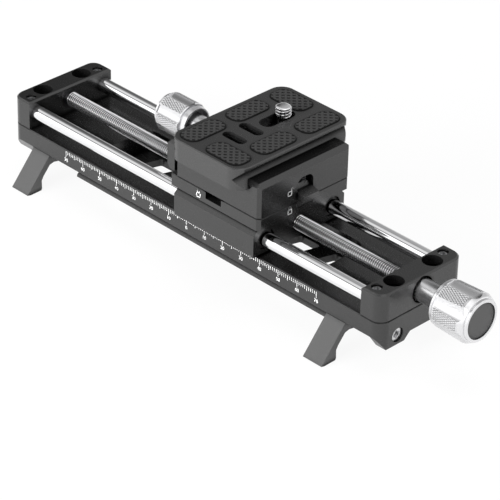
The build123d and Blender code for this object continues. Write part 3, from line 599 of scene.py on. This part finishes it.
def pad_surface(x, y, half_x, half_y):
    """Height and painted shade of a pad at one point: pits between diagonal ribs, inside a lower rim, both
    darkened.
    """
    over_x = max(0.0, abs(x) - half_x + PAD_R)
    over_y = max(0.0, abs(y) - half_y + PAD_R)
    edge = PAD_R - math.hypot(over_x, over_y)
    if edge < PAD_RIM:
        return PAD_TOP - PAD_RIM_DROP, PIT_SHADE
    across = abs(((x + y) * DIAGONAL / PIT_PITCH) % 1.0 - 0.5) * 2
    along = abs(((y - x) * DIAGONAL / PIT_PITCH) % 1.0 - 0.5) * 2
    inside = min(PIT_SHARE[0] - across, PIT_SHARE[1] - along)
    pit = min(1.0, max(0.0, inside / PIT_WALL))
    return PAD_TOP - PIT_DEPTH * pit, 1.0 - (1.0 - PIT_SHADE) * pit


def pad_edge(u, v, half_x, half_y):
    """Point of the unit square moved so that its outline has rounded corners."""
    x = u * half_x
    y = v * half_y
    over_x = abs(x) - half_x + PAD_R
    over_y = abs(y) - half_y + PAD_R
    if over_x > 0 and over_y > 0:
        size = math.hypot(over_x, over_y)
        full = max(over_x, over_y)
        over_x *= full / size
        over_y *= full / size
        x = math.copysign(half_x - PAD_R + over_x, x)
        y = math.copysign(half_y - PAD_R + over_y, y)
    return x, y


def pad(points, faces, shade, centre_x, centre_y, width, length):
    """Adds one pad: a fine grid for its top, a wall round its border and a flat bottom; the wall takes the
    pits' painted shade.
    """
    columns = math.ceil(width / PAD_CELL)
    lines = math.ceil(length / PAD_CELL)
    grid = {}
    for column in range(columns + 1):
        for line in range(lines + 1):
            u = 2 * column / columns - 1
            v = 2 * line / lines - 1
            x, y = pad_edge(u, v, width / 2, length / 2)
            z, level = pad_surface(x, y, width / 2, length / 2)
            grid[column, line] = len(points)
            points.append((centre_x + x, centre_y + y, z))
            shade.append(level)
    for column in range(columns):
        for line in range(lines):
            corners = ((column, line), (column + 1, line), (column + 1, line + 1), (column, line + 1))
            faces.append(tuple(grid[corner] for corner in corners))
    border = [grid[c, 0] for c in range(columns)] + [grid[columns, n] for n in range(lines)]
    border += [grid[c, lines] for c in range(columns, 0, -1)] + [grid[0, n] for n in range(lines, 0, -1)]
    base = len(points)
    for index in border:
        points.append((*points[index][:2], PAD_Z))
        shade.append(PIT_SHADE)
    for n in range(len(border)):
        after = (n + 1) % len(border)
        faces.append((border[n], base + n, base + after, border[after]))
    faces.append(tuple(base + n for n in reversed(range(len(border)))))


pad_points = []
pad_faces = []
pad_shade = []
for place in PADS:
    pad(pad_points, pad_faces, pad_shade, *place)
pad_mat = piece(
    "plate_pad_mats", pad_points, pad_faces, RUBBER, "plate", "pad_rubber", smooth=False, shade=pad_shade
)
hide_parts("plate_pads")


# ---- slanted ribs along both sides of the plate ----
def block(points, faces, corners):
    """Adds a closed eight-cornered solid; corners are the lower four, then the upper four."""
    first = len(points)
    points += corners
    quads = ((3, 2, 1, 0), (4, 5, 6, 7), (0, 1, 5, 4), (1, 2, 6, 5), (2, 3, 7, 6), (3, 0, 4, 7))
    faces += [tuple(first + n for n in quad) for quad in quads]


# half width and height of the groove's sloping side, at its foot and at its top
GROOVE_LOW = (15.6, 46.4)
GROOVE_HIGH = (18.35, 49.15)
RIB_PROUD = 0.1
RIB_PITCH = 2.4
RIB_WIDTH = 1.1
RIB_LEAN = 1.5
RIB_REACH = 23.5
MIRRORED = (1, 0, 3, 2, 5, 4, 7, 6)


def rib(side, y):
    """Eight corners of one slanted rib on the right (side 1) or left (side -1) of the plate."""
    corners = []
    for lift in (-RIB_PROUD, RIB_PROUD):
        (foot, foot_z), (top, top_z) = [
            (PLATE_X + side * (half + lift), z - lift) for half, z in (GROOVE_LOW, GROOVE_HIGH)
        ]
        lean = y + RIB_LEAN
        corners += [
            (foot, y, foot_z), (top, lean, top_z), (top, lean + RIB_WIDTH, top_z),
            (foot, y + RIB_WIDTH, foot_z),
        ]
    return corners if side > 0 else [corners[n] for n in MIRRORED]


rib_points = []
rib_faces = []
for side in (-1, 1):
    for index in range(int(2 * RIB_REACH / RIB_PITCH)):
        block(rib_points, rib_faces, rib(side, index * RIB_PITCH - RIB_REACH))
piece("plate_ribs", rib_points, rib_faces, BLACK, "plate", "black_anodised", smooth=False)

# ---- scale: ticks and numbers on the near face ----
SCALE_END = 70
NUMBER_STEP = 10
HALF_STEP = 5
SCALE_PROUD = 0.03
TICK_WIDTH = 0.19
TICK_TOP = round(RAIL_TOP_Z - 0.5, 2)
NUMBERED_FOOT = 8.8
HALF_FOOT = 9.5
SHORT_FOOT = 10.1
DIGIT_Z = 7.5
DIGIT_SIZE = 2.1
# added to x in the names of the numbers, so that none is negative
NAME_SHIFT = 100


def tick_mark(points, faces, x, foot):
    """Adds one tick of the scale, from foot up to the common top line."""
    left = x - TICK_WIDTH / 2
    right = x + TICK_WIDTH / 2
    front = RAIL_NEAR_Y - SCALE_PROUD
    outline = ((left, front), (right, front), (right, RAIL_NEAR_Y), (left, RAIL_NEAR_Y))
    block(points, faces, [(*corner, z) for z in (foot, TICK_TOP) for corner in outline])


tick_points = []
tick_faces = []
for tick in range(-SCALE_END, SCALE_END + 1):
    foot = SHORT_FOOT
    if tick % NUMBER_STEP == 0:
        foot = NUMBERED_FOOT
    elif tick % HALF_STEP == 0:
        foot = HALF_FOOT
    tick_mark(tick_points, tick_faces, tick, foot)
piece("scale_ticks", tick_points, tick_faces, PAINT, "rail", None, smooth=False)


def number(x):
    """The number of the scale at x, as a thin raised mark."""
    digits = str(abs(x))
    curve = bpy.data.curves.new("scale_number_" + digits + "_" + str(x + NAME_SHIFT), "FONT")
    curve.body = digits
    curve.size = DIGIT_SIZE * MM
    curve.align_x = "CENTER"
    curve.align_y = "CENTER"
    curve.extrude = SCALE_PROUD * MM / 2
    obj = bpy.data.objects.new(curve.name, curve)
    obj.data.materials.append(PAINT)
    upright = Matrix.Rotation(math.pi / 2, 4, "X")
    obj.matrix_world = Matrix.Translation((x * MM, RAIL_NEAR_Y * MM, DIGIT_Z * MM)) @ upright
    scene.collection.objects.link(obj)
    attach(obj, "rail")


for tens in range(-SCALE_END, SCALE_END + 1, NUMBER_STEP):
    number(tens)


# ---- lock marks: thin raised lines, as (across, up) from the mark's middle ----
MARK_WIDTH = 0.3
MARK_PROUD = 0.04
BOX_HALF = 0.95
BOX_LOW = -1.5
BOX_TOP = 0.3
LOOP_R = 0.55
LOOP_Z = 1.1
LOOP_SWING = 1.4
LOOP_STEPS = 8


def stroke(points, faces, path, place):
    """Thin raised line along a path of (across, up) points; place puts them in the frame."""
    for (a0, b0), (a1, b1) in zip(path, path[1:]):
        size = math.hypot(a1 - a0, b1 - b0)
        ua = (a1 - a0) / size * MARK_WIDTH / 2
        ub = (b1 - b0) / size * MARK_WIDTH / 2
        outline = (
            (a0 - ua + ub, b0 - ub - ua), (a1 + ua + ub, b1 + ub - ua),
            (a1 + ua - ub, b1 + ub + ua), (a0 - ua - ub, b0 - ub + ua),
        )
        block(points, faces, [place(a, b, height) for height in (0, MARK_PROUD) for a, b in outline])


def padlock(name, place, body, opened):
    """Outline of a padlock: a box below and a loop above, swung aside when opened."""
    box = [
        (-BOX_HALF, BOX_LOW), (BOX_HALF, BOX_LOW), (BOX_HALF, BOX_TOP), (-BOX_HALF, BOX_TOP),
        (-BOX_HALF, BOX_LOW),
    ]
    shift = LOOP_SWING if opened else 0.0
    loop = [(shift - LOOP_R, BOX_TOP)]
    for step in range(LOOP_STEPS + 1):
        angle = math.pi - math.pi * step / LOOP_STEPS
        loop.append((LOOP_R * math.cos(angle) + shift, LOOP_Z + LOOP_R * math.sin(angle)))
    if not opened:
        loop.append((LOOP_R, BOX_TOP))
    points = []
    faces = []
    for path in (box, loop):
        stroke(points, faces, path, place)
    piece(name, points, faces, PAINT, body, None, smooth=False)


FRONT_LOCK = (8.9, 27.7)
END_LOCK = (-7.8, 27.9)
END_UNLOCK = (-8.2, 36.0)


def on_near_face(a, b, height):
    return (FRONT_LOCK[0] + a, INDEX_NEAR_Y - height, FRONT_LOCK[1] + b)


def on_index_end(a, b, height):
    return (INDEX_RIGHT_X + height, END_LOCK[0] + a, END_LOCK[1] + b)


def on_clamp_end(a, b, height):
    return (CLAMP_RIGHT_X + height, END_UNLOCK[0] + a, END_UNLOCK[1] + b)


padlock("lock_mark_front", on_near_face, "carriage", False)
padlock("lock_mark_end", on_index_end, "carriage", False)
padlock("unlock_mark_end", on_clamp_end, "clamp", True)

# ---- floor; its half width is in metres ----
FLOOR_HALF = 6.0
SQUARE = ((-1, -1), (1, -1), (1, 1), (-1, 1))
FLOOR_GLOW = 0.92
FLOOR_GLOW_REFLECTED = 0.4


def floor_material():
    """White floor that shows almost white to the camera, keeps shadows, and is clear from below."""
    tree = material("floor_white")
    tree.shader.inputs["Roughness"].default_value = 0.9
    tree.shader.inputs["Specular IOR Level"].default_value = 0.0
    tree.link(tree.tint(tree.noise(3.0), 0.78, 0.82), tree.shader.inputs["Base Color"])
    ray = tree.add("ShaderNodeLightPath").outputs
    straight = tree.math("MAXIMUM", ray["Is Camera Ray"], ray["Is Transmission Ray"])
    straight = tree.math("MULTIPLY", straight, FLOOR_GLOW)
    mirrored = tree.math("MULTIPLY", ray["Is Glossy Ray"], FLOOR_GLOW_REFLECTED)
    glow = tree.add("ShaderNodeEmission", Color=WHITE)
    lit = tree.blend(tree.math("MAXIMUM", straight, mirrored), tree.shader, glow)
    below = tree.add("ShaderNodeNewGeometry").outputs["Backfacing"]
    shown = tree.blend(below, lit, tree.add("ShaderNodeBsdfTransparent"))
    tree.link(shown.outputs[0], tree.nodes["Material Output"].inputs["Surface"])
    return tree.owner


def studio_floor():
    mesh = bpy.data.meshes.new("studio_floor")
    corners = [(x * FLOOR_HALF, y * FLOOR_HALF, cad_box[LOW][Z]) for x, y in SQUARE]
    mesh.from_pydata(corners, [], [tuple(range(len(SQUARE)))])
    mesh.materials.append(floor_material())
    obj = bpy.data.objects.new("studio_floor", mesh)
    scene.collection.objects.link(obj)


studio_floor()

# ---- world: an even fill for lighting, white to the camera, soft boxes to reflections ----
FILL = 0.35
SOFT_BOX = 2.0
# turn round the rail's axis from the front horizon to the back one, then the level that
# reflections see there towards the left and towards the right, as shares of SOFT_BOX
BANDS = (
    (0.0, 0.5, 0.5), (0.10, 0.85, 0.85), (0.285, 0.85, 0.85), (0.30, 0.05, 0.05), (0.34, 0.05, 0.05),
    (0.37, 0.45, 0.45), (0.52, 0.45, 0.45), (0.58, 0.12, 0.2), (0.74, 0.02, 0.24), (0.9, 0.04, 0.26),
    (1.0, 0.5, 0.5),
)
LEFT_LEVEL = 1
RIGHT_LEVEL = 2
# share of the view direction's x at which the left levels pass into the right ones
SIDE_RANGE = (-0.67, -0.55)
RIGHT_REACH = 0.4
RIGHT_GLOW = 0.3


def band_levels(tree, turn, column):
    """Colour of one column of BANDS over the turn; the ramp starts with its stops at 0 and 1."""
    bands = tree.add("ShaderNodeValToRGB")
    stops = bands.color_ramp.elements
    for place, *_ in BANDS[1:-1]:
        stops.new(place)
    for stop, band in zip(stops, BANDS):
        stop.color = (band[column],) * 3 + (1,)
    tree.link(turn, bands.inputs["Fac"])
    return bands.outputs["Color"]


def soft_boxes(tree):
    """Background that reflections see."""
    view = tree.add("ShaderNodeSeparateXYZ")
    tree.link(tree.add("ShaderNodeTexCoord").outputs["Generated"], view.inputs[0])
    turn = tree.math("ARCTAN2", view.outputs["Z"], tree.math("MULTIPLY", view.outputs["Y"], -1.0))
    turn = tree.math("DIVIDE", turn, math.pi)
    across = tree.add("ShaderNodeMapRange")
    across.inputs["From Min"].default_value = SIDE_RANGE[0]
    across.inputs["From Max"].default_value = SIDE_RANGE[1]
    tree.link(view.outputs["X"], across.inputs["Value"])
    both = tree.add("ShaderNodeMix", data_type="RGBA")
    tree.link(across.outputs["Result"], both.inputs[0])
    tree.link(band_levels(tree, turn, LEFT_LEVEL), both.inputs[6])
    tree.link(band_levels(tree, turn, RIGHT_LEVEL), both.inputs[7])
    right_side = tree.add("ShaderNodeMapRange")
    right_side.inputs["From Max"].default_value = RIGHT_REACH
    right_side.inputs["To Max"].default_value = RIGHT_GLOW
    tree.link(view.outputs["X"], right_side.inputs["Value"])
    glowing = tree.add("ShaderNodeMix", data_type="RGBA", blend_type="ADD")
    glowing.inputs[0].default_value = 1.0
    tree.link(both.outputs[2], glowing.inputs[6])
    tree.link(right_side.outputs["Result"], glowing.inputs[7])
    boxes = tree.add("ShaderNodeBackground", Strength=SOFT_BOX)
    tree.link(glowing.outputs[2], boxes.inputs["Color"])
    return boxes


def studio_world():
    world = bpy.data.worlds.new("studio")
    scene.world = world
    tree = Tree(world)
    tree.nodes.clear()
    ray = tree.add("ShaderNodeLightPath").outputs
    seen = tree.math("MAXIMUM", ray["Is Camera Ray"], ray["Is Glossy Ray"])
    seen = tree.math("MAXIMUM", seen, ray["Is Transmission Ray"])
    white = tree.add("ShaderNodeBackground", Color=WHITE, Strength=1.0)
    fill = tree.add("ShaderNodeBackground", Color=WHITE, Strength=FILL)
    shown = tree.blend(ray["Is Glossy Ray"], white, soft_boxes(tree))
    result = tree.blend(seen, fill, shown)
    tree.link(result.outputs[0], tree.add("ShaderNodeOutputWorld").inputs["Surface"])


studio_world()


# ---- lamps ----
def lamp(name, place, target, size, power):
    """Soft rectangular lamp, given in millimetres, that points at a target."""
    data = bpy.data.lights.new(name, "AREA")
    data.shape = "RECTANGLE"
    data.size, data.size_y = (side * MM for side in size)
    data.energy = power
    obj = bpy.data.objects.new(name, data)
    obj.location = [c * MM for c in place]
    aim = Vector(target) - Vector(place)
    obj.rotation_euler = aim.to_track_quat("-Z", "Y").to_euler()
    obj.visible_glossy = False
    scene.collection.objects.link(obj)


lamp("front_lamp", (-150, -1100, 420), (0, 0, 10), (900, 500), 26.0)
lamp("top_lamp", (-100, 200, 1200), (0, 0, 10), (900, 900), 9.0)
lamp("right_lamp", (900, 500, 300), (0, 0, 10), (500, 500), 3.0)

# ---- camera ----
CAMERA_PLACE = (668.97, -657.01, 571.34)
FORWARD = Vector((-0.60008594, 0.60097237, -0.52794798))
ROLL = math.radians(1.442)
LENS = 202.52
SENSOR = 36.0
CLIP_END = 50.0


def photo_camera():
    """Camera that sees the rail as the photograph does."""
    data = bpy.data.cameras.new("view")
    data.lens = LENS
    data.sensor_width = SENSOR
    data.clip_end = CLIP_END
    right = FORWARD.cross(Vector((0, 0, 1))).normalized()
    up = right.cross(FORWARD).normalized()
    turned_right = right * math.cos(ROLL) + up * math.sin(ROLL)
    turned_up = up * math.cos(ROLL) - right * math.sin(ROLL)
    basis = Matrix((turned_right, turned_up, -FORWARD)).transposed().to_4x4()
    obj = bpy.data.objects.new("view", data)
    obj.matrix_world = Matrix.Translation(Vector(CAMERA_PLACE) * MM) @ basis
    scene.collection.objects.link(obj)
    scene.camera = obj


photo_camera()
scene.view_settings.view_transform = "Standard"

bpy.context.view_layer.update()
